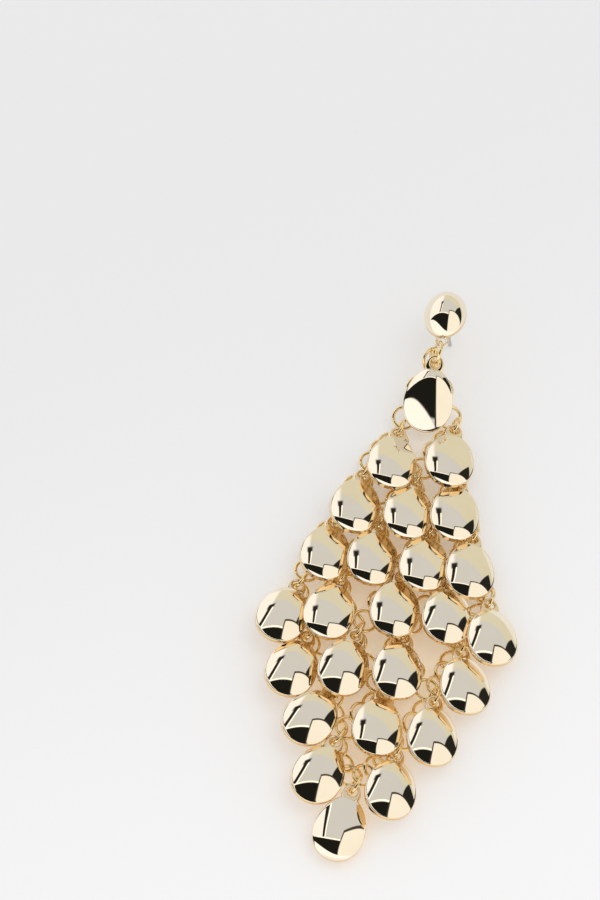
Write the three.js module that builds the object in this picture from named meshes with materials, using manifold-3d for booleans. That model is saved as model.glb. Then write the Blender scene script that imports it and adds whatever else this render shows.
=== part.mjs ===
// One earring of a pair: an oval domed stud with its post, and under it twenty-five polished
// drops in rows of 1, 2, 3, 4, 5, 4, 3, 2 and 1, carried by a net of round jump rings.
// It lies face up on a flat surface at Z = 0, the stud towards +Y, and the sizes are in mm.

import * as THREE from 'three';
import { mergeVertices } from 'three/addons/utils/BufferGeometryUtils.js';
import Module from 'manifold-3d';

const wasm = await Module();
wasm.setup();

// ---- driving sizes -------------------------------------------------------------------------

const SIDE = 5;                 // drops along each side of the diamond
const ROW_PITCH = 12.0;         // from one row of drops to the next
const PLACE_PITCH = 10.3;       // from one drop to its neighbour in the same row
const TOP_ROW_Y = 38.04;        // the top drop's middle
const ROWS_X = 0.23;            // the rows' middle line, with the whole centred on the origin

const DROP = {
  halfWidth: 5.1,
  lowerHalf: 5.9,               // widest point down to the lower tip
  upperHalf: 7.4,               // widest point up to the neck
  upperPower: 2.0,              // the shoulders are squarer than an ellipse
  wall: 0.9,                    // height of the side wall
  dome: 1.7,                    // rise of the face above the wall
  corners: 12,                  // corners of the faceted outline
};
const EAR = { y: 8.6, radius: 1.6, hole: 1.0, thickness: 0.8, root: 5.6 };

const WIRE = 0.7;               // jump ring wire
const RING_RADIUS = 2.25;       // middle of the wire, so a ring is 5.2 across
const RING_CORNERS = 8;
const RING_SEAT = 1.98;         // from a ring's middle to the inner half of its faceted wire
const WIRE_CORNERS = 3;
const SOLDER = 0.15;            // radius of the joint where two links of one net piece touch
const SLIVER = 0.03;            // facets smaller than this are merged after a join

const STUD = { halfWidth: 4.4, halfLength: 5.8, base: 0.7, dome: 3.5, climbs: [0.3, 0.55, 0.8], corners: 20 };
const LOOP = { y: -6.9, radius: 1.2, wire: 0.7 };
const POST = { radius: 0.4, length: 10.34 };

// ---- materials -----------------------------------------------------------------------------

const polishedGold = new THREE.MeshStandardMaterial({ color: 0xe6cf98, roughness: 0.08, metalness: 1 });
const ringGold = new THREE.MeshStandardMaterial({ color: 0xdcb968, roughness: 0.15, metalness: 1 });

// ---- solids --------------------------------------------------------------------------------

function solidOf(geometry) {
  const bare = geometry.index ? geometry.toNonIndexed() : geometry.clone();
  bare.deleteAttribute('normal');
  bare.deleteAttribute('uv');
  const merged = mergeVertices(bare, 1e-4);
  return new wasm.Manifold(new wasm.Mesh({
    numProp: 3,
    vertProperties: new Float32Array(merged.attributes.position.array),
    triVerts: new Uint32Array(merged.index.array),
  }));
}

function geometryOf(solid) {
  const mesh = solid.getMesh();
  const geometry = new THREE.BufferGeometry();
  geometry.setAttribute('position', new THREE.BufferAttribute(new Float32Array(mesh.vertProperties), 3));
  geometry.setIndex(new THREE.BufferAttribute(new Uint32Array(mesh.triVerts), 1));
  geometry.computeVertexNormals();
  return geometry;
}

function unionOf(solids) {
  return solids.reduce((whole, next) => whole.add(next)).simplify(SLIVER);
}

// A closed solid lofted through scaled copies of one outline, each at its own height, with
// a flat floor and a pointed or flat top.
function loft(outline, levels, topHeight) {
  const count = outline.length;
  const points = [];
  for (const { scale, height } of levels) {
    for (const [x, y] of outline) points.push(x * scale, y * scale, height);
  }
  const floor = points.length / 3;
  points.push(0, 0, levels[0].height);
  const top = floor + 1;
  points.push(0, 0, topHeight);
  const faces = [];
  const last = (levels.length - 1) * count;
  for (let k = 0; k < count; k++) {
    const next = (k + 1) % count;
    faces.push(floor, next, k);
    faces.push(top, last + k, last + next);
    for (let level = 0; level < levels.length - 1; level++) {
      const low = level * count;
      const high = low + count;
      faces.push(low + k, low + next, high + next, low + k, high + next, high + k);
    }
  }
  const geometry = new THREE.BufferGeometry();
  geometry.setAttribute('position', new THREE.Float32BufferAttribute(points, 3));
  geometry.setIndex(faces);
  return geometry;
}

// The drop's outline: half an ellipse below its widest line, squarer shoulders above it.
function dropOutline() {
  const outline = [];
  for (let k = 0; k < DROP.corners; k++) {
    const angle = (2 * Math.PI * k) / DROP.corners - Math.PI / 2;
    const power = 2 / (Math.sin(angle) > 0 ? DROP.upperPower : 2);
    const reach = Math.sin(angle) > 0 ? DROP.upperHalf : DROP.lowerHalf;
    const across = Math.sign(Math.cos(angle)) * Math.abs(Math.cos(angle)) ** power;
    const along = Math.sign(Math.sin(angle)) * Math.abs(Math.sin(angle)) ** power;
    outline.push([DROP.halfWidth * across, reach * along]);
  }
  return outline;
}

function dropGeometry() {
  const body = loft(dropOutline(), [
    { scale: 1, height: 0 },
    { scale: 1, height: DROP.wall },
    { scale: 0.72, height: DROP.wall + 0.55 * DROP.dome },
    { scale: 0.36, height: DROP.wall + 0.9 * DROP.dome },
  ], DROP.wall + DROP.dome);

  const tab = new THREE.Shape();
  tab.moveTo(-EAR.radius, EAR.root);
  tab.lineTo(EAR.radius, EAR.root);
  tab.lineTo(EAR.radius, EAR.y);
  tab.absarc(0, EAR.y, EAR.radius, 0, Math.PI, false);
  tab.closePath();
  const hole = new THREE.Path();
  hole.absarc(0, EAR.y, EAR.hole, 0, 2 * Math.PI, true);
  tab.holes.push(hole);
  const ear = new THREE.ExtrudeGeometry(tab, {
    depth: EAR.thickness, bevelEnabled: false, curveSegments: 4,
  });
  return geometryOf(unionOf([solidOf(body), solidOf(ear)]));
}

// A round ring in the plane of its two directions, along and across.
function ringAt(centre, along, across) {
  const forward = along.clone().normalize();
  const normal = forward.clone().cross(across).normalize();
  const side = normal.clone().cross(forward);
  const place = new THREE.Matrix4().makeBasis(forward, side, normal).setPosition(centre);
  const ring = new THREE.TorusGeometry(RING_RADIUS, WIRE / 2, WIRE_CORNERS, RING_CORNERS);
  return solidOf(ring.rotateZ(Math.PI / RING_CORNERS).applyMatrix4(place));
}

// The joint between two wires of one net piece: a short bar from one to the other.
function solderBetween(start, end) {
  const step = end.clone().sub(start);
  const bar = new THREE.CylinderGeometry(SOLDER, SOLDER, step.length(), 3);
  const turn = new THREE.Quaternion().setFromUnitVectors(new THREE.Vector3(0, 1, 0), step.normalize());
  const middle = start.clone().add(end).multiplyScalar(0.5);
  bar.applyQuaternion(turn).translate(middle.x, middle.y, middle.z);
  return solidOf(bar);
}

// ---- how each drop lies --------------------------------------------------------------------

const degrees = THREE.MathUtils.degToRad;

// The rows lie like a loosely spread net. side and along shift a drop from its even place in
// mm, turn is its lean in the surface, roll lifts its left edge and tilt lifts its ear, in degrees.
const LIE = [
  // row, place, side, along, turn, roll, tilt
  [0, 0, -0.4, 0.8, -2, 4, 28],
  [1, 0, -0.22, -2.93, 0, 9.5, -11],
  [1, 1, 0.9, -0.35, 2, 10.5, -10.3],
  [2, 0, -0.8, -1.98, -2, 10.8, -10],
  [2, 1, -0.31, -1.61, -0.7, 10.6, -10.2],
  [2, 2, -1.35, -0.29, 2, 11.7, -9.3],
  [3, 0, 0.2, -1.6, -4, 11, -9.9],
  [3, 1, -0.68, -0.98, 0, 12, -9],
  [3, 2, -0.44, -0.57, 1, 9.7, -9.3],
  [3, 3, -1.47, -0.55, 4, 12, -9],
  [4, 0, -0.68, -4.72, -12, 6.2, -9.6],
  [4, 1, -1.92, -2.34, -6, 7.9, -9.1],
  [4, 2, 0.6, 0.36, 0, 11.4, -9.5],
  [4, 3, 0.74, 0.66, 2, 12, -9],
  [4, 4, 0.09, -2.4, 12, 12, -8],
  [5, 0, -1.96, -3.92, -12.2, 6.7, -8.2],
  [5, 1, -2.23, -1.88, -7.7, 12, -8],
  [5, 2, -1.84, -0.79, 2, 12, -8],
  [5, 3, 1.6, -1.7, 14, 12, -7],
  [6, 0, -1.82, -1.78, -23.4, 6.1, -8.7],
  [6, 1, 1.47, -1.72, -0.1, 10, -9.8],
  [6, 2, 2.1, -1.7, 6, 12, -7],
  [7, 0, -3.21, -1.29, -14, 8, -6],
  [7, 1, 1, -2.2, 2, 12, -7],
  [8, 0, -2.3, 0.8, -8, 6, 5],
].map(([row, place, side, along, turn, roll, tilt]) => ({ row, place, side, along, turn, roll, tilt }));

const EAR_HEIGHT = 3.74;        // middle of an ear's hole above the surface
const TOP_EAR_HEIGHT = 9.45;    // the top drop's ear is held up by the stud on its post
const RING_DIP = degrees(30);   // a ring through an ear slopes down behind the ear
const TOP_RING_DIP = degrees(15);  // less behind the top drop, up to the stud's loop
const RING_LEAN = degrees(75);  // and crosses the ear's plate at this angle

function poseOf(lie) {
  const inRow = lie.row < SIDE ? lie.row + 1 : 2 * SIDE - 1 - lie.row;
  const x = ROWS_X + (lie.place - (inRow - 1) / 2) * PLACE_PITCH + lie.side;
  const y = TOP_ROW_Y - lie.row * ROW_PITCH + lie.along;
  const turn = new THREE.Euler(degrees(lie.tilt), degrees(lie.roll), degrees(lie.turn), 'ZXY');
  const right = new THREE.Vector3(1, 0, 0).applyEuler(turn);
  const up = new THREE.Vector3(0, 1, 0).applyEuler(turn);
  const face = new THREE.Vector3(0, 0, 1).applyEuler(turn);
  const earOffset = new THREE.Vector3(0, EAR.y, EAR.thickness / 2).applyEuler(turn);
  const earHeight = lie.row === 0 ? TOP_EAR_HEIGHT : EAR_HEIGHT;
  const position = new THREE.Vector3(x, y, earHeight - earOffset.z);
  const hole = position.clone().add(earOffset);
  const dip = lie.row === 0 ? TOP_RING_DIP : RING_DIP;
  const behind = up.clone().multiplyScalar(Math.cos(dip)).addScaledVector(face, -Math.sin(dip));
  const lean = right.clone().multiplyScalar(Math.cos(RING_LEAN)).addScaledVector(face, Math.sin(RING_LEAN));
  const knot = hole.clone().addScaledVector(behind, RING_RADIUS);
  return { ...lie, turn, position, hole, behind, lean, knot };
}

const poses = LIE.map(poseOf);
const poseAt = (row, place) => poses.find((pose) => pose.row === row && pose.place === place);

// The drop below and to the left, and the one below and to the right, where there is one.
function childrenOf({ row, place }) {
  const widening = row < SIDE - 1;
  const inNext = widening ? row + 2 : 2 * SIDE - 2 - row;
  const left = widening ? place : place - 1;
  return [
    { side: -1, child: left >= 0 ? poseAt(row + 1, left) : undefined },
    { side: 1, child: left + 1 < inNext ? poseAt(row + 1, left + 1) : undefined },
  ].filter(({ child }) => child);
}

// ---- the net: each piece is the ring through one ear and its arms down to the next row -------

const ARM_LINKS = 3;
const LINK_LEAN = [-15, 30, 10].map(degrees);
const TOP_LINK_LEAN = [60, 30, 10].map(degrees);  // the top arms start nearly edge up
const ARM_START = { left: degrees(70), right: degrees(60) };  // round the ring, from the ear
const TOP_ARM_START = { left: degrees(87), right: degrees(80) };
const HOOK = 1.45;              // from a wire to the middle of the link hooked on it
const UPPER_SEAT = { behind: 0.7, lean: 0.5 };
const LOWER_SEAT = { behind: 0.1, lean: -0.5 };

function pointOnKnot(pose, angle) {
  return pose.knot.clone()
    .addScaledVector(pose.behind, -RING_RADIUS * Math.cos(angle))
    .addScaledVector(pose.lean, -RING_RADIUS * Math.sin(angle));
}

// A point inside the ring through an ear, where the last link of an arm passes through it.
function pointInsideKnot(pose, side) {
  const seat = side < 0 ? UPPER_SEAT : LOWER_SEAT;
  return pose.knot.clone().addScaledVector(pose.behind, seat.behind).addScaledVector(pose.lean, seat.lean);
}

function armOf(pose, child, side) {
  const from = pose.row === 0 ? TOP_ARM_START : ARM_START;
  const start = pointOnKnot(pose, side < 0 ? from.left : from.right);
  const end = pointInsideKnot(child, side);
  const along = end.clone().sub(start).normalize();
  const level = new THREE.Vector3(along.y, -along.x, 0).normalize();
  const first = start.clone().addScaledVector(along, HOOK);
  const last = end.clone().addScaledVector(along, -RING_RADIUS);
  const solids = [];
  let wireBefore = start;
  for (let link = 0; link < ARM_LINKS; link++) {
    const centre = first.clone().lerp(last, link / (ARM_LINKS - 1));
    const lean = (pose.row === 0 ? TOP_LINK_LEAN : LINK_LEAN)[link];
    const across = level.clone().multiplyScalar(Math.cos(lean)).add(new THREE.Vector3(0, 0, Math.sin(lean)));
    solids.push(ringAt(centre, along, across));
    solids.push(solderBetween(wireBefore, centre.clone().addScaledVector(along, -RING_SEAT)));
    wireBefore = centre.clone().addScaledVector(along, RING_SEAT);
  }
  return solids;
}

function netPiece(pose) {
  const solids = [ringAt(pose.knot, pose.behind, pose.lean)];
  for (const { side, child } of childrenOf(pose)) solids.push(...armOf(pose, child, side));
  const geometry = geometryOf(unionOf(solids));
  geometry.translate(-pose.knot.x, -pose.knot.y, -pose.knot.z);
  const mesh = new THREE.Mesh(geometry, ringGold);
  mesh.name = `links_${pose.row}_${pose.place}`;
  mesh.position.copy(pose.knot);
  return mesh;
}

// ---- the stud, with its loop and post soldered on -------------------------------------------

function studGeometry() {
  const outline = [];
  for (let k = 0; k < STUD.corners; k++) {
    const angle = (2 * Math.PI * k) / STUD.corners;
    outline.push([STUD.halfWidth * Math.cos(angle), STUD.halfLength * Math.sin(angle)]);
  }
  const levels = [{ scale: 1, height: 0 }, { scale: 1, height: STUD.base }];
  for (const climb of STUD.climbs) {
    levels.push({ scale: Math.sqrt(1 - climb * climb), height: STUD.base + climb * STUD.dome });
  }
  const dome = loft(outline, levels, STUD.base + STUD.dome);
  const loop = new THREE.TorusGeometry(LOOP.radius, LOOP.wire / 2, 6, 12);
  loop.translate(0, LOOP.y, LOOP.wire / 2);
  const post = new THREE.CylinderGeometry(POST.radius, POST.radius, POST.length, 10);
  post.rotateX(Math.PI / 2).translate(0, 0, 0.2 - POST.length / 2);
  return geometryOf(unionOf([solidOf(dome), solidOf(loop), solidOf(post)]));
}

// ---- assembly ------------------------------------------------------------------------------

const earring = new THREE.Group();

const stud = new THREE.Mesh(studGeometry(), polishedGold);
stud.name = 'stud';
stud.position.set(0.43, 57.24, 10.05);
stud.rotation.set(degrees(-6), degrees(-8), degrees(2), 'ZXY');
earring.add(stud);

const oneDrop = dropGeometry();
for (const pose of poses) {
  const drop = new THREE.Mesh(oneDrop, polishedGold);
  drop.name = `drop_${pose.row}_${pose.place}`;
  drop.position.copy(pose.position);
  drop.rotation.copy(pose.turn);
  earring.add(drop);
  earring.add(netPiece(pose));
}

export default earring;
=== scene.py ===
import math

import bpy
import numpy as np
from mathutils import Matrix, Vector


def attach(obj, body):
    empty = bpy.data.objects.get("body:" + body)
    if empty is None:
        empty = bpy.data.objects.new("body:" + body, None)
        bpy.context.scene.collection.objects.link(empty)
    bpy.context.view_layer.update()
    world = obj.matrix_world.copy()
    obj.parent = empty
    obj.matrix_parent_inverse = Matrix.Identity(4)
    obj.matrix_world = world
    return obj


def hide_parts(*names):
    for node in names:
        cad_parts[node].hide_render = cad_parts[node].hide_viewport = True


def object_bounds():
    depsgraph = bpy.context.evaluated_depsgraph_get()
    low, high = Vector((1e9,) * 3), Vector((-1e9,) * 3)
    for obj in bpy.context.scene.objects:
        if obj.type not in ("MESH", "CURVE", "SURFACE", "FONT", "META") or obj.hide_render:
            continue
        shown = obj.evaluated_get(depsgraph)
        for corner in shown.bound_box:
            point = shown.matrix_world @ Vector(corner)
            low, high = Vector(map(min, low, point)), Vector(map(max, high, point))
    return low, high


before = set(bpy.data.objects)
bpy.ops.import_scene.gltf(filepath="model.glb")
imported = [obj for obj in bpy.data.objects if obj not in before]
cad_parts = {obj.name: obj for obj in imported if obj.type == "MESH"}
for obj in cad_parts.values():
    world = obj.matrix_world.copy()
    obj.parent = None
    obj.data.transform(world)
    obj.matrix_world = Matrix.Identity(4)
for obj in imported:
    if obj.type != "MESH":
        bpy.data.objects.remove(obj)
cad_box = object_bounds()
scene = bpy.context.scene
MM = 0.001


# ---- the camera ------------------------------------------------------------------------------
# The earring lies face up and is looked down on from its lower end, a little from the right.
# The view is framed above and to the left of it, so it lies in the lower right of the picture.

VIEW_SIDE = math.radians(10.1)
VIEW_HEIGHT = math.radians(61.0)
VIEW_DISTANCE = 777.4 * MM
LENS = 152.0
SENSOR = 36.0
AIM_LEFT = 24.34 * MM          # the camera looks at a point this far left of the earring's middle,
AIM_BACK = 25.14 * MM          # this far towards its stud
AIM_UP = 2.3 * MM              # and this far above the board

middle = (cad_box[0] + cad_box[1]) / 2
aim = Vector((middle.x - AIM_LEFT, middle.y + AIM_BACK, AIM_UP))
towards_camera = Vector((
    math.sin(VIEW_SIDE) * math.cos(VIEW_HEIGHT),
    -math.cos(VIEW_SIDE) * math.cos(VIEW_HEIGHT),
    math.sin(VIEW_HEIGHT),
))

camera = bpy.data.objects.new("camera", bpy.data.cameras.new("camera"))
camera.data.lens = LENS
camera.data.sensor_width = SENSOR
camera.data.clip_start = 0.02
camera.data.clip_end = 20.0
camera.location = aim + towards_camera * VIEW_DISTANCE
camera.rotation_mode = "QUATERNION"
camera.rotation_quaternion = (-towards_camera).to_track_quat("-Z", "Y")
scene.collection.objects.link(camera)
scene.camera = camera


# ---- the floor and the light -------------------------------------------------------------------
# A plain pale board lies under the earring, in a light tent: a white side on the left, a grey top,
# a beige wall behind, a dark flag and a window on the right, the dark room round the lens, and a
# white sheet in front. The mirror gold shows all of these. A broad weak lamp above gives the soft
# shadows.

class Signal:
    """A shader socket in arithmetic: each operator adds the Math node that works it out."""

    def __init__(self, tree, socket=None):
        self.tree = tree
        self.socket = socket

    def make(self, kind, settings, inputs, output=0):
        """Adds one node: its settings first, then the value or the link of each socket named."""
        node = self.tree.nodes.new(kind)
        for name, value in settings.items():
            setattr(node, name, value)
        for name, value in inputs.items():
            if isinstance(value, Signal):
                self.tree.links.new(value.socket, node.inputs[name])
            else:
                node.inputs[name].default_value = value
        return Signal(self.tree, node.outputs[output])

    def maths(self, operation, *values):
        return self.make("ShaderNodeMath", {"operation": operation}, dict(enumerate(values)))

    def __add__(self, other):
        return self.maths("ADD", self, other)

    def __sub__(self, other):
        return self.maths("SUBTRACT", self, other)

    def __rsub__(self, other):
        return self.maths("SUBTRACT", other, self)

    def __mul__(self, other):
        return self.maths("MULTIPLY", self, other)

    __radd__ = __add__
    __rmul__ = __mul__

    def above(self, edge, soft):
        """0 below the edge and 1 above it, with a smooth step 2 * soft wide."""
        return self.make(
            "ShaderNodeMapRange", {"interpolation_type": "SMOOTHSTEP"},
            {"Value": self, "From Min": edge - soft, "From Max": edge + soft})

    def between(self, low, high, soft):
        return self.above(low, soft) * (1 - self.above(high, soft))

    def tint(self, plain, tinted):
        """The plain colour where this is 0 and the tinted one where it is 1."""
        return self.make(
            "ShaderNodeMix", {"data_type": "RGBA"}, {"Factor": self, 6: plain, 7: tinted}, output=2)


BOARD_SIDE = 3.0
# The board is painted darker from its near right corner to its far left one: painted shade, where the
# tent's light falls off across it.
BOARD_NEAR = (0.905, 0.905, 0.905, 1)
BOARD_FAR_SHADED = (0.80, 0.80, 0.80, 1)
BOARD_FADE = (-0.10, 0.12)     # from the near right corner to the far left one, in metres
BOARD_SLANT = 0.6              # each metre to the right sets the fade back by this much
BOARD_ROUGHNESS = 0.7
BOARD_LIT = 0.34               # the board gives off this much of its colour, which thins its shadows
BOARD_GLOW = (1.0, 0.78, 0.42, 1)  # a tint painted on the board, where the net would throw gold light
GLOW_MOST = 0.5                # how much of the tint there is in its middle
GLOW_HALF = (0.026, 0.050)     # half the width and length of the diamond that it fills, in metres
GLOW_NEAR = -0.012             # the middle of that diamond, towards the lowest drop
GLOW_EDGE = (0.85, 0.3)        # where it fades out, as a share of the diamond, and how softly
FILL = (0.58, 0.58, 0.58, 1)   # what the tent sends to everything that isn't a mirror
LAMP_POWER = 0.25
LAMP_SPREAD = math.radians(40)
LAMP_FROM = Vector((0.35, 0.10, 1.0))

# Each panel of the tent, in degrees. It spans from left to right across, and from low to high over
# the tent: from the wall behind (0) over the top (90) to the front (180). Its sides lean to the
# right by lean for each degree beyond LEAN_FROM, its ends rise by rise for each degree to the
# right, and its edges are blurred by soft each way. A later panel covers an earlier one.
LEAN_FROM = 60
PANELS = [
    # name,         left, right,  lean,   low, high,  rise, soft,   red, green,  blue
    ("back wall",    -95,    95,   0.0,   -60,   26,  0.10,  2.0,  0.74,  0.72,  0.60),
    ("left side",   -190,   -28, -0.25,   -60,  150,   0.0,  3.0,  1.06,  1.06,  1.08),
    ("clamp",        -33,   -22, -0.25,    32,   42,   0.0,  2.0,  0.02,  0.02, 0.018),
    ("seam",         -31,   -25, -0.25,    38,   86,   0.0,  0.5,  0.02,  0.02, 0.018),
    ("seam light",   -24,   -22, -0.25,    40,   84,   0.0,  0.4,  1.50,  1.45,  1.35),
    ("right flag",    45,    95,   0.0,     8,   90,   0.0,  1.0,  0.02,  0.02, 0.018),
    ("sill",         -55,    22,   0.0,    81,   84,   0.0,  0.5,  1.40,  1.35,  1.25),
    ("dark room",    -95,    25,   0.0,    84,  144,   0.0,  0.8, 0.012, 0.012,  0.01),
    ("window frame",  18,    95,   0.0,    75,  230, -0.45,  0.6,  0.06,  0.05,  0.04),
    ("window",        21,    95,   0.0,    79,  230, -0.45,  0.6,  1.02,  0.99,  0.93),
    ("front sheet",  -95,    95,   0.0,   140,  260,  0.40,  1.0,  1.15,  1.14,  1.16),
]
TENT_TOP = (0.67, 0.69, 0.73, 1)

world = bpy.data.worlds.new("tent")
world.use_nodes = True
world.node_tree.nodes.clear()
studio = Signal(world.node_tree)
ray = studio.make("ShaderNodeTexCoord", {}, {})
side, depth, height = (
    studio.make("ShaderNodeSeparateXYZ", {}, {"Vector": ray}, output=axis) for axis in range(3))
across = studio.maths("ARCSINE", side) * math.degrees(1)
over = studio.maths("ARCTAN2", height, depth) * math.degrees(1)
tent = TENT_TOP
for _, left, right, lean, low, high, rise, soft, *colour in PANELS:
    aside = (across - (over - LEAN_FROM) * lean).between(left, right, soft)
    along = (over - across * rise).between(low, high, soft)
    tent = (aside * along).tint(tent, (*colour, 1))
is_dull = studio.make("ShaderNodeLightPath", {}, {}, output="Is Diffuse Ray")
tent = is_dull.tint(tent, FILL)
backdrop = studio.make("ShaderNodeBackground", {}, {"Color": tent})
outlet = world.node_tree.nodes.new("ShaderNodeOutputWorld")
world.node_tree.links.new(backdrop.socket, outlet.inputs["Surface"])
scene.world = world
scene.view_settings.view_transform = "Standard"

lamp = bpy.data.objects.new("lamp", bpy.data.lights.new("lamp", "SUN"))
lamp.data.energy = LAMP_POWER
lamp.data.angle = LAMP_SPREAD
lamp.rotation_euler = LAMP_FROM.to_track_quat("Z", "Y").to_euler()
lamp.visible_glossy = False
scene.collection.objects.link(lamp)

corner = BOARD_SIDE / 2
board_mesh = bpy.data.meshes.new("board")
board_mesh.from_pydata(
    [(-corner, -corner, 0), (corner, -corner, 0), (corner, corner, 0), (-corner, corner, 0)], [],
    [(0, 1, 2, 3)])
board = bpy.data.objects.new("board", board_mesh)
scene.collection.objects.link(board)

board_finish = bpy.data.materials.new("board")
board_finish.use_nodes = True
paint = board_finish.node_tree.nodes["Principled BSDF"]
paint.inputs["Roughness"].default_value = BOARD_ROUGHNESS
flat = Signal(board_finish.node_tree)
place = flat.make("ShaderNodeTexCoord", {}, {}, output="Object")
rightward, onward = (
    flat.make("ShaderNodeSeparateXYZ", {}, {"Vector": place}, output=axis) for axis in range(2))
# painted shade: the board darkens towards its far left
fade = flat.make(
    "ShaderNodeMapRange", {"interpolation_type": "SMOOTHSTEP"},
    {"Value": onward - rightward * BOARD_SLANT,
     "From Min": BOARD_FADE[0], "From Max": BOARD_FADE[1]})
from_middle = (
    flat.maths("ABSOLUTE", rightward) * (1 / GLOW_HALF[0])
    + flat.maths("ABSOLUTE", onward - GLOW_NEAR) * (1 / GLOW_HALF[1]))
bare = (1 - GLOW_MOST) + GLOW_MOST * from_middle.above(*GLOW_EDGE)
board_colour = bare.tint(BOARD_GLOW, fade.tint(BOARD_NEAR, BOARD_FAR_SHADED))
for lit in ("Base Color", "Emission Color"):
    board_finish.node_tree.links.new(board_colour.socket, paint.inputs[lit])
paint.inputs["Emission Strength"].default_value = BOARD_LIT
board_mesh.materials.append(board_finish)


# ---- gold finishes -----------------------------------------------------------------------------
# Pale yellow gold plate on cast or drawn metal, and the steel of the ear post. Faces are buffed to
# a mirror, which leaves them very slightly wavy; edges and backs only get a quick polish, which
# leaves them rougher, and they are painted a deeper yellow: painted shade and painted reflection
# of the gold round them.

HAZE_SCALE = 260.0             # patches of about 4 mm, a little duller and yellower
HAZE_COLOUR = 0.12
HAZE_ROUGHNESS = 0.015
RUB_SCALE = 2600.0             # fine rubbing, which shows most on the edges
RUB_FACE = 0.01
RUB_EDGE = 0.05
RIPPLE_SCALE = 170.0           # the waves of buffing, about 6 mm apart
EDGE_COLOUR = 0.8              # how much of the edge's painted deeper, shaded colour a point at full share has


def gold_finish(name, face, edge, face_roughness, edge_roughness, wave):
    """Mixes the buffed face and the plainer edge by the mesh's worn_and_shaded attribute, 0 to 1:
    the edge is rougher, and painted a deeper yellow as painted shade and reflected gold. The face's
    waves are as deep as wave."""
    material = bpy.data.materials.new(name)
    material.use_nodes = True
    tree = material.node_tree
    metal = tree.nodes["Principled BSDF"]
    metal.inputs["Metallic"].default_value = 1.0
    start = Signal(tree)
    place = start.make("ShaderNodeTexCoord", {}, {}, output="Object")
    worn_and_shaded = start.make("ShaderNodeAttribute", {"attribute_name": "worn_and_shaded"}, {}, output="Fac")
    haze, rub, ripple = (
        start.make("ShaderNodeTexNoise", {}, {"Vector": place, "Scale": scale, "Detail": detail})
        for scale, detail in ((HAZE_SCALE, 3.0), (RUB_SCALE, 2.0), (RIPPLE_SCALE, 1.0)))
    # painted shade and reflection: the edge colour, a deeper yellow, goes where worn_and_shaded is high
    edged = worn_and_shaded * EDGE_COLOUR + haze.above(0.6, 0.25) * HAZE_COLOUR
    colour = edged.tint((*face, 1), (*edge, 1))
    tree.links.new(colour.socket, metal.inputs["Base Color"])
    roughness = (
        face_roughness + worn_and_shaded * (edge_roughness - face_roughness)
        + haze.above(0.55, 0.2) * HAZE_ROUGHNESS
        + rub.above(0.6, 0.15) * (RUB_FACE + RUB_EDGE * worn_and_shaded))
    tree.links.new(roughness.socket, metal.inputs["Roughness"])
    bump = start.make("ShaderNodeBump", {}, {"Strength": 1.0, "Distance": wave, "Height": ripple})
    tree.links.new(bump.socket, metal.inputs["Normal"])
    return material


polished_gold = gold_finish(
    "polished gold", face=(0.96, 0.865, 0.70), edge=(0.86, 0.60, 0.27),
    face_roughness=0.025, edge_roughness=0.14, wave=0.02 * MM)
# The rings' gold is painted a deeper yellow than the drops': painted reflection of the gold light the
# rings and drops throw on each other.
ring_gold = gold_finish(
    "ring gold", face=(0.98, 0.80, 0.45), edge=(0.82, 0.56, 0.24),
    face_roughness=0.06, edge_roughness=0.18, wave=0.01 * MM)
ear_steel = gold_finish(
    "ear steel", face=(0.62, 0.61, 0.59), edge=(0.45, 0.44, 0.42),
    face_roughness=0.16, edge_roughness=0.3, wave=0.005 * MM)


# ---- the drops ---------------------------------------------------------------------------------
# Twenty-five drops hang in a diamond net, in rows of 1, 2, 3, 4, 5, 4, 3, 2 and 1. Each is an egg-shaped
# lens with a buffed dome, a rounded rim, a low side wall, a flat back and a small eye on top, and each
# leans and tips its own way.

SIDE = 5
ROW_PITCH = 12.0 * MM
PLACE_PITCH = 10.3 * MM
TOP_ROW = Vector((0.23 * MM, 38.04 * MM))
EAR_HEIGHT = 3.74 * MM
TOP_EAR_HEIGHT = 9.45 * MM
EAR_UP = 8.6 * MM
EAR_PLATE = 0.8 * MM

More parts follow.
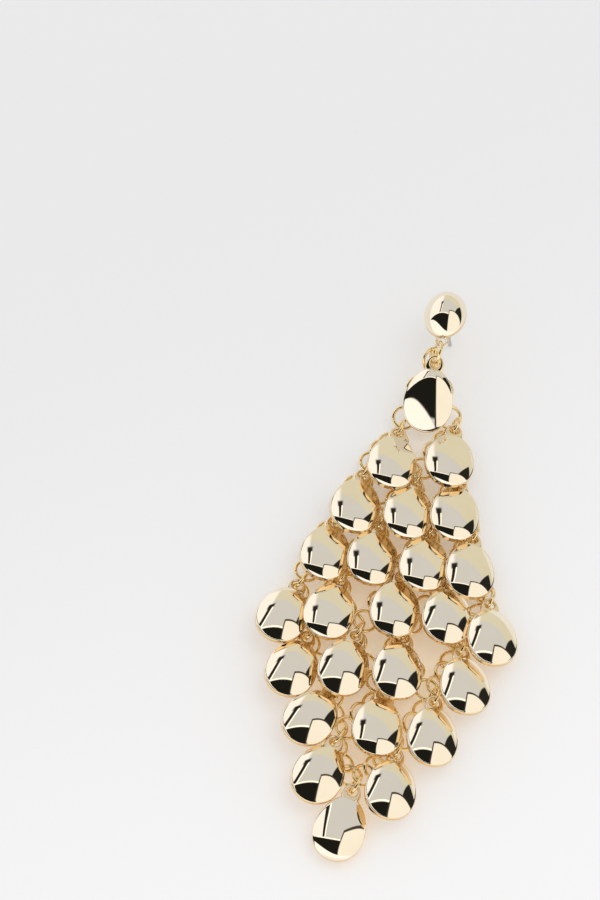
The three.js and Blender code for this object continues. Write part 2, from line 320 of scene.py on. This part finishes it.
# side and along shift a drop from its even place in mm, turn is its lean in the surface, roll
# lifts its left edge and tilt lifts its ear, in degrees. crown is how far below the widest line, in
# mm, buffing has left the highest point of its dome, and where it is negative that point is above.
# All but the crown are the CAD drops' own. They were fitted and then shifted by programs until the
# CAD solids kept clear of each other, which is why they are uneven.
LIE = [
    # row, place, side, along, turn, roll, tilt, crown
    (0, 0, -0.4, 0.8, -2, 4, 28, -3.2),
    (1, 0, -0.22, -2.93, 0, 9.5, -11, 1.9),
    (1, 1, 0.9, -0.35, 2, 10.5, -10.3, 1.9),
    (2, 0, -0.8, -1.98, -2, 10.8, -10, 1.9),
    (2, 1, -0.31, -1.61, -0.7, 10.6, -10.2, 1.9),
    (2, 2, -1.35, -0.29, 2, 11.7, -9.3, 1.9),
    (3, 0, 0.2, -1.6, -4, 11, -9.9, 1.7),
    (3, 1, -0.68, -0.98, 0, 12, -9, 1.7),
    (3, 2, -0.44, -0.57, 1, 9.7, -9.3, 1.7),
    (3, 3, -1.47, -0.55, 4, 12, -9, 1.0),
    (4, 0, -0.68, -4.72, -12, 6.2, -9.6, -0.7),
    (4, 1, -1.92, -2.34, -6, 7.9, -9.1, 1.6),
    (4, 2, 0.6, 0.36, 0, 11.4, -9.5, 1.4),
    (4, 3, 0.74, 0.66, 2, 12, -9, -0.3),
    (4, 4, 0.09, -2.4, 12, 12, -8, -0.7),
    (5, 0, -1.96, -3.92, -12.2, 6.7, -8.2, -0.7),
    (5, 1, -2.23, -1.88, -7.7, 12, -8, -0.3),
    (5, 2, -1.84, -0.79, 2, 12, -8, 0.3),
    (5, 3, 1.6, -1.7, 14, 12, -7, -0.7),
    (6, 0, -1.82, -1.78, -23.4, 6.1, -8.7, -0.7),
    (6, 1, 1.47, -1.72, -0.1, 10, -9.8, 1.2),
    (6, 2, 2.1, -1.7, 6, 12, -7, -0.7),
    (7, 0, -3.21, -1.29, -14, 8, -6, -0.7),
    (7, 1, 1, -2.2, 2, 12, -7, -0.9),
    (8, 0, -2.3, 0.8, -8, 6, 5, 1.8),
]


def turned(turn, roll, tilt):
    """The turn of a piece in the surface, after its tilt, after its roll, all in degrees."""
    return (
        Matrix.Rotation(math.radians(turn), 3, "Z")
        @ Matrix.Rotation(math.radians(tilt), 3, "X")
        @ Matrix.Rotation(math.radians(roll), 3, "Y"))


class Lie:
    """Where one drop lies: its row, middle and turn, the hole of its ear, and its dome's crown."""

    def __init__(self, row, place, side, along, turn, roll, tilt, crown):
        in_row = row + 1 if row < SIDE else 2 * SIDE - 1 - row
        self.row = row
        self.turn = turned(turn, roll, tilt)
        self.crown = crown * MM
        ear = self.turn @ Vector((0, EAR_UP, EAR_PLATE / 2))
        x = TOP_ROW.x + (place - (in_row - 1) / 2) * PLACE_PITCH + side * MM
        y = TOP_ROW.y - row * ROW_PITCH + along * MM
        ear_height = TOP_EAR_HEIGHT if row == 0 else EAR_HEIGHT
        self.middle = Vector((x, y, ear_height - ear.z))
        self.hole = self.middle + ear


lies = {(row, place): Lie(row, place, *rest) for row, place, *rest in LIE}


def grid_faces(rows, columns, closed_rows=False):
    """Quads between neighbouring points of a grid whose columns close round."""
    row = np.arange(rows if closed_rows else rows - 1)[:, None]
    column = np.arange(columns)[None, :]
    next_row, next_column = (row + 1) % rows, (column + 1) % columns
    corners = [(row, column), (next_row, column), (next_row, next_column), (row, next_column)]
    return np.stack([down * columns + across for down, across in corners], -1).reshape(-1, 4)


def capped_faces(rows, columns):
    """A grid's quads, and a fan at each end to the two points that follow the grid's own."""
    column = np.arange(columns)
    beside = (column + 1) % columns
    last = (rows - 1) * columns
    first_pole = np.full(columns, rows * columns)
    return [
        *grid_faces(rows, columns),
        *np.stack([first_pole, column, beside], -1),
        *np.stack([first_pole + 1, last + beside, last + column], -1)]


def piece_of(name, surfaces, finishes, *nodes):
    """One piece from grids of (points, faces, worn_and_shaded), each grid with a finish of its own,
    riding in place of the nodes it stands for."""
    mesh = bpy.data.meshes.new(name)
    starts = np.cumsum([0] + [len(points) for points, _, _ in surfaces])
    points = np.concatenate([points for points, _, _ in surfaces])
    faces = [face + start for (_, group, _), start in zip(surfaces, starts) for face in group]
    mesh.from_pydata(points.tolist(), [], [face.tolist() for face in faces])
    worn_and_shaded = mesh.attributes.new("worn_and_shaded", "FLOAT", "POINT")
    worn_and_shaded.data.foreach_set("value", np.concatenate([worn_and_shaded for _, _, worn_and_shaded in surfaces]).astype(np.float32))
    mesh.polygons.foreach_set("use_smooth", np.ones(len(mesh.polygons), bool))
    for finish in dict.fromkeys(finishes):
        mesh.materials.append(finish)
    slots = [list(dict.fromkeys(finishes)).index(finish) for finish in finishes]
    counts = [len(faces) for _, faces, _ in surfaces]
    mesh.polygons.foreach_set("material_index", np.repeat(slots, counts).astype(np.int32))
    piece = bpy.data.objects.new(name, mesh)
    scene.collection.objects.link(piece)
    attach(piece, "root")
    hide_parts(*nodes)
    return piece


HALF_WIDTH = 5.1 * MM
HALF_LENGTH = 6.65 * MM
EGG = 0.75 * MM                # the lower half is this much shorter, the upper this much longer
WALL = 0.9 * MM
DOME = 1.7 * MM
RIM_START = 0.965              # where the dome rolls over into the rim
RIM_DROP = 0.28 * MM
RIM_POWER = 1.15               # 1 is a quarter of an ellipse
BACK_EDGE = 0.1 * MM
BACK_REACH = [0.9, 0.5, 0.1]   # the rows of the flat back
ROUND = 84                     # points round a drop


def listed(x, y, z):
    """The points of a grid, row by row."""
    return np.stack(np.broadcast_arrays(x, y, z), -1).reshape(-1, 3)


def lens_points(reach, height, crown):
    """Points of an egg-shaped disc: reach, 0 at the crown to 1 at the rim, scales an ellipse whose upper
    half is drawn out, and the middle of the rows is moved down by crown. Rows follow reach."""
    angle = np.linspace(0, 2 * np.pi, ROUND, endpoint=False)[None, :]
    east, north = reach[:, None] * np.cos(angle), reach[:, None] * np.sin(angle)
    y = HALF_LENGTH * north + EGG * north**2 - crown * (1 - east**2 - north**2)
    return listed(HALF_WIDTH * east, y, height[:, None])


def drop_body(crown):
    """The profile from crown to back: a parabola, a quarter turn over the rim, a straight wall, a
    small turn under, and the flat back."""
    inner = np.linspace(0, 1, 30)[1:]
    roll = np.linspace(0, np.pi / 2, 8)[1:]
    dome_reach = RIM_START * inner
    dome_height = WALL + DOME * (1 - dome_reach**2)
    rim_reach = RIM_START + (1 - RIM_START) * np.sin(roll) ** RIM_POWER
    rim_height = dome_height[-1] - RIM_DROP * (1 - np.cos(roll))
    under = np.linspace(0, np.pi / 2, 4)
    edge_reach = 1 - BACK_EDGE / HALF_WIDTH * (1 - np.cos(under))
    edge_height = BACK_EDGE * (1 - np.sin(under))
    reach = np.concatenate([dome_reach, rim_reach, edge_reach, BACK_REACH])
    height = np.concatenate([dome_height, rim_height, edge_height, np.zeros(3)])
    points = lens_points(reach, height, crown)
    poles = lens_points(np.zeros(1), np.zeros(1), crown)[:1] + [[0, 0, WALL + DOME], [0, 0, 0]]
    # rim, wall and back wear more and are painted the deeper yellow of shade and reflected gold
    on_wall = np.concatenate([
        np.zeros(len(dome_reach)), np.sin(roll) ** 3, np.ones(len(edge_reach)), np.ones(3)])
    worn_and_shaded = np.concatenate([np.repeat(on_wall, ROUND), [0, 1]])
    return np.concatenate([points, poles]), capped_faces(len(reach), ROUND), worn_and_shaded


EYE_HOLE = 1.0 * MM
EYE_RIM = 1.6 * MM
EYE_NECK = 3.1 * MM            # from the hole's middle down into the drop's shoulder
EYE_SWELL = 0.15 * MM          # how much thicker the neck is than the eye, each way
EYE_POWER = 0.8                # 1 would make each cut an ellipse, and less squares it
# the eye's share of edge wear and of the deeper yellow painted on as shade
EYE_WEAR_AND_SHADE = 0.5


def drop_eye():
    """A flattened ring round the hole: each cut across it is a rounded oblong from the hole's wall to
    the outer edge, which flares into the drop below."""
    steps, wire = 40, 14
    angle = np.linspace(0, 2 * np.pi, steps, endpoint=False)[:, None]
    cut = np.linspace(0, 2 * np.pi, wire, endpoint=False)[None, :]
    flare = ((1 - np.cos(angle)) / 2) ** 3
    outer = EYE_RIM + (EYE_NECK - EYE_RIM) * flare
    half = (outer - EYE_HOLE) / 2
    thick = EAR_PLATE / 2 + EYE_SWELL * flare
    radius = EYE_HOLE + half * (1 + np.sign(np.cos(cut)) * np.abs(np.cos(cut)) ** EYE_POWER)
    x = radius * np.sin(angle)
    y = EAR_UP + radius * np.cos(angle)
    z = thick * (1 + np.sign(np.sin(cut)) * np.abs(np.sin(cut)) ** EYE_POWER)
    points = listed(x, y, z)
    return points, grid_faces(steps, wire, closed_rows=True), np.full(len(points), EYE_WEAR_AND_SHADE)


def laid(surface, turn, middle):
    """A surface turned and moved to where it lies."""
    points, faces, worn_and_shaded = surface
    return points @ np.array(turn).T + np.array(middle), faces, worn_and_shaded


eye = drop_eye()
for (row, place), lie in lies.items():
    surfaces = [laid(part, lie.turn, lie.middle) for part in (drop_body(lie.crown), eye)]
    piece_of(f"polished_drop_{row}_{place}", surfaces, [polished_gold] * 2, f"drop_{row}_{place}")


# ---- the jump rings ----------------------------------------------------------------------------
# Rings of round wire, wound on a rod, sawn apart and pinched shut, so each has a hairline seam. One
# goes through every eye, and from it arms of three rings run down to the rings of the eyes below.

WIRE = 0.7 * MM
RING_RADIUS = 2.25 * MM
SEAM = math.radians(1.2)
SEAM_STEP = 2.4                # from one ring's seam to the next one's, in radians
# the rings' share of edge wear and of the deeper yellow painted on as shade
RING_WEAR_AND_SHADE = 0.2
RING_DIP = math.radians(30)    # a ring through an eye slopes down behind the eye
TOP_RING_DIP = math.radians(15)  # and less steeply at the top drop
RING_LEAN = math.radians(75)   # and crosses the eye's plate at this angle
ARM_LINKS = 3

# How far each ring of an arm leans out of the level, how far round the ring above an arm starts
# from the eye's hole, on the left (-1) and on the right (1), where it ends in the ring below, back
# and aside of its middle, and how far from its start its first ring's middle is.
LINK_LEAN = [math.radians(lean) for lean in (-15, 30, 10)]
TOP_LINK_LEAN = [math.radians(lean) for lean in (60, 30, 10)]
ARM_START = {-1: math.radians(70), 1: math.radians(60)}
TOP_ARM_START = {-1: math.radians(87), 1: math.radians(80)}
SEAT = {-1: (0.7 * MM, 0.5 * MM), 1: (0.1 * MM, -0.5 * MM)}
HOOK = 1.45 * MM


def rings_surface(places):
    """Tubes round a circle, for a list of (centre, forward, sideways): every tube's wire is a circle
    carried round from one side of the seam to the other, with a flat end at each. Wire that would
    dip into the board is cut flat at it."""
    centre, forward, sideways = (np.array(part)[:, None, None, :] for part in zip(*places))
    upward = np.cross(forward, sideways)
    count, steps, wire = len(places), 42, 10
    seam_at = (SEAM_STEP * np.arange(count))[:, None, None, None]
    turn = seam_at + np.linspace(SEAM, 2 * np.pi - SEAM, steps)[None, :, None, None]
    round_wire = np.linspace(0, 2 * np.pi, wire, endpoint=False)[None, None, :, None]
    outward = forward * np.cos(turn) + sideways * np.sin(turn)
    middle_line = centre + RING_RADIUS * outward
    skin = middle_line + WIRE / 2 * (outward * np.cos(round_wire) + upward * np.sin(round_wire))
    ends = middle_line[:, [0, -1], 0, :]
    points = np.concatenate([skin.reshape(count, -1, 3), ends], 1)
    points[..., 2] = points[..., 2].clip(0)
    one = capped_faces(steps, wire)
    faces = [face + ring * points.shape[1] for ring in range(count) for face in one]
    return points.reshape(-1, 3), faces, np.full(count * points.shape[1], RING_WEAR_AND_SHADE)


def level_frame(forward, lean):
    """The sideways direction of a ring that runs forward and leans this far out of the level."""
    level = Vector((forward.y, -forward.x, 0)).normalized()
    sideways = level * math.cos(lean) + Vector((0, 0, math.sin(lean)))
    return (sideways - forward * sideways.dot(forward)).normalized()


def knot_of(lie):
    """The ring through an eye: its middle, the way it runs back from the eye, and its lean."""
    right, up, face = (lie.turn.col[axis] for axis in range(3))
    dip = TOP_RING_DIP if lie.row == 0 else RING_DIP
    behind = up * math.cos(dip) - face * math.sin(dip)
    lean = right * math.cos(RING_LEAN) + face * math.sin(RING_LEAN)
    return lie.hole + behind * RING_RADIUS, behind, lean


def next_below(row, place):
    """The drops below to the left (-1) and to the right (1), where the net has them."""
    left = place if row < SIDE - 1 else place - 1
    return [(hand, (row + 1, left + step)) for hand, step in ((-1, 0), (1, 1))
            if (row + 1, left + step) in lies]


def arm_rings(lie, hand, below):
    """The rings from one knot down into the next, evenly spaced on a straight line."""
    knot, behind, lean = knot_of(lie)
    is_top = lie.row == 0
    start_turn = (TOP_ARM_START if is_top else ARM_START)[hand]
    leans = TOP_LINK_LEAN if is_top else LINK_LEAN
    start = knot - RING_RADIUS * (behind * math.cos(start_turn) + lean * math.sin(start_turn))
    next_knot, next_behind, next_lean = knot_of(below)
    back, aside = SEAT[hand]
    end = next_knot + next_behind * back + next_lean * aside
    forward = (end - start).normalized()
    first, last = start + forward * HOOK, end - forward * RING_RADIUS
    return [
        (first.lerp(last, link / (ARM_LINKS - 1)), forward, level_frame(forward, leans[link]))
        for link in range(ARM_LINKS)]


for (row, place), lie in lies.items():
    knot, behind, lean = knot_of(lie)
    upright = (lean - behind * lean.dot(behind)).normalized()
    rings = [(knot, behind, upright)]
    for hand, below in next_below(row, place):
        rings += arm_rings(lie, hand, lies[below])
    piece_of(f"jump_rings_{row}_{place}", [rings_surface(rings)], [ring_gold], f"links_{row}_{place}")


# ---- the stud ----------------------------------------------------------------------------------
# An oval stud with a high buffed dome. The wire loop that carries the net and the straight ear
# post, which has a groove near its tip for the clutch, are soldered to its flat back.

STUD_PLACE = Vector((0.43, 57.24, 10.05)) * MM
STUD_TURN = turned(turn=2, roll=-8, tilt=-6)
STUD_HALF = (4.4 * MM, 5.8 * MM)
STUD_BASE = 0.7 * MM
STUD_DOME = 3.5 * MM
DOME_POWER = 1.5               # 1 is half an ellipsoid and 2 a parabola
LOOP_DOWN = 6.9 * MM
LOOP_RADIUS = 1.2 * MM
# the loop's share of edge wear and of the deeper yellow painted on as shade
LOOP_WEAR_AND_SHADE = 0.3
POST_RADIUS = 0.4 * MM
POST_LENGTH = 10.14 * MM
SOLDER = (0.5 * MM, 0.22 * MM)               # how far the flare stands out, and how fast it thins
GROOVE = (0.07 * MM, 8.2 * MM, 0.28 * MM)    # the groove's depth, its place, and half its width
# the post's share of edge wear and of the darker edge steel painted on as shade
POST_WEAR_AND_SHADE = 0.4


def stud_dome():
    """A high lens on a low wall: the dome's height falls off as a power of one less the reach squared,
    and rows go from the crown to the rim and under to the back."""
    around = 96
    climb = np.radians(np.linspace(0, 86, 40)[1:])
    under = np.linspace(0, np.pi / 2, 4)
    reach = np.concatenate([
        np.sin(climb), [1, 1], 1 - BACK_EDGE / STUD_HALF[0] * (1 - np.cos(under)), BACK_REACH])
    height = np.concatenate([
        STUD_BASE + STUD_DOME * np.cos(climb) ** DOME_POWER, [STUD_BASE, STUD_BASE / 2],
        BACK_EDGE * (1 - np.sin(under)), np.zeros(3)])
    angle = np.linspace(0, 2 * np.pi, around, endpoint=False)[None, :]
    x = reach[:, None] * STUD_HALF[0] * np.cos(angle)
    y = reach[:, None] * STUD_HALF[1] * np.sin(angle)
    poles = [[0, 0, STUD_BASE + STUD_DOME], [0, 0, 0]]
    # rim and back wear more and are painted the deeper yellow of shade and reflected gold
    worn_and_shaded = np.repeat(np.arange(len(reach)) >= len(climb), around)
    points = np.concatenate([listed(x, y, height[:, None]), poles])
    return points, capped_faces(len(reach), around), np.append(worn_and_shaded, [0, 1])


def stud_loop():
    """A ring of wire, half of it sunk in the stud's back."""
    steps, wire = 36, 12
    angle = np.linspace(0, 2 * np.pi, steps, endpoint=False)[:, None]
    cut = np.linspace(0, 2 * np.pi, wire, endpoint=False)[None, :]
    radius = LOOP_RADIUS + WIRE / 2 * np.cos(cut)
    y = -LOOP_DOWN + radius * np.cos(angle)
    points = listed(radius * np.sin(angle), y, WIRE / 2 * (1 + np.sin(cut)))
    return points, grid_faces(steps, wire, closed_rows=True), np.full(len(points), LOOP_WEAR_AND_SHADE)


def stud_post():
    """A turned profile carried round the post: a flare of solder, the straight shank, the clutch's
    groove, and a rounded tip. Its rows are closest at the flare and the groove."""
    around = 20
    flare_height, flare_thins = SOLDER
    groove_depth, groove_at, groove_half = GROOVE
    down = np.concatenate([np.linspace(-0.2, 1.0, 8), [3, 5, 7], np.linspace(7.6, 8.8, 10), [9.5]]) * MM
    tip = np.linspace(0, np.pi / 2, 7)[:-1]
    flare = flare_height * np.exp(-down / flare_thins).clip(0, 1)
    groove = groove_depth * np.exp(-((down - groove_at) / groove_half) ** 2)
    radius = np.concatenate([POST_RADIUS + flare - groove, POST_RADIUS * np.cos(tip)])
    down = np.concatenate([down, POST_LENGTH - POST_RADIUS * (1 - np.sin(tip))])
    angle = np.linspace(0, 2 * np.pi, around, endpoint=False)[None, :]
    x = radius[:, None] * np.cos(angle)
    y = radius[:, None] * np.sin(angle)
    poles = [[0, 0, -down[0]], [0, 0, -POST_LENGTH]]
    points = np.concatenate([listed(x, y, -down[:, None]), poles])
    return points, capped_faces(len(down), around), np.full(len(points), POST_WEAR_AND_SHADE)


piece_of(
    "ear_stud",
    [laid(part, STUD_TURN, STUD_PLACE) for part in (stud_dome(), stud_loop(), stud_post())],
    [polished_gold, polished_gold, ear_steel], "stud")
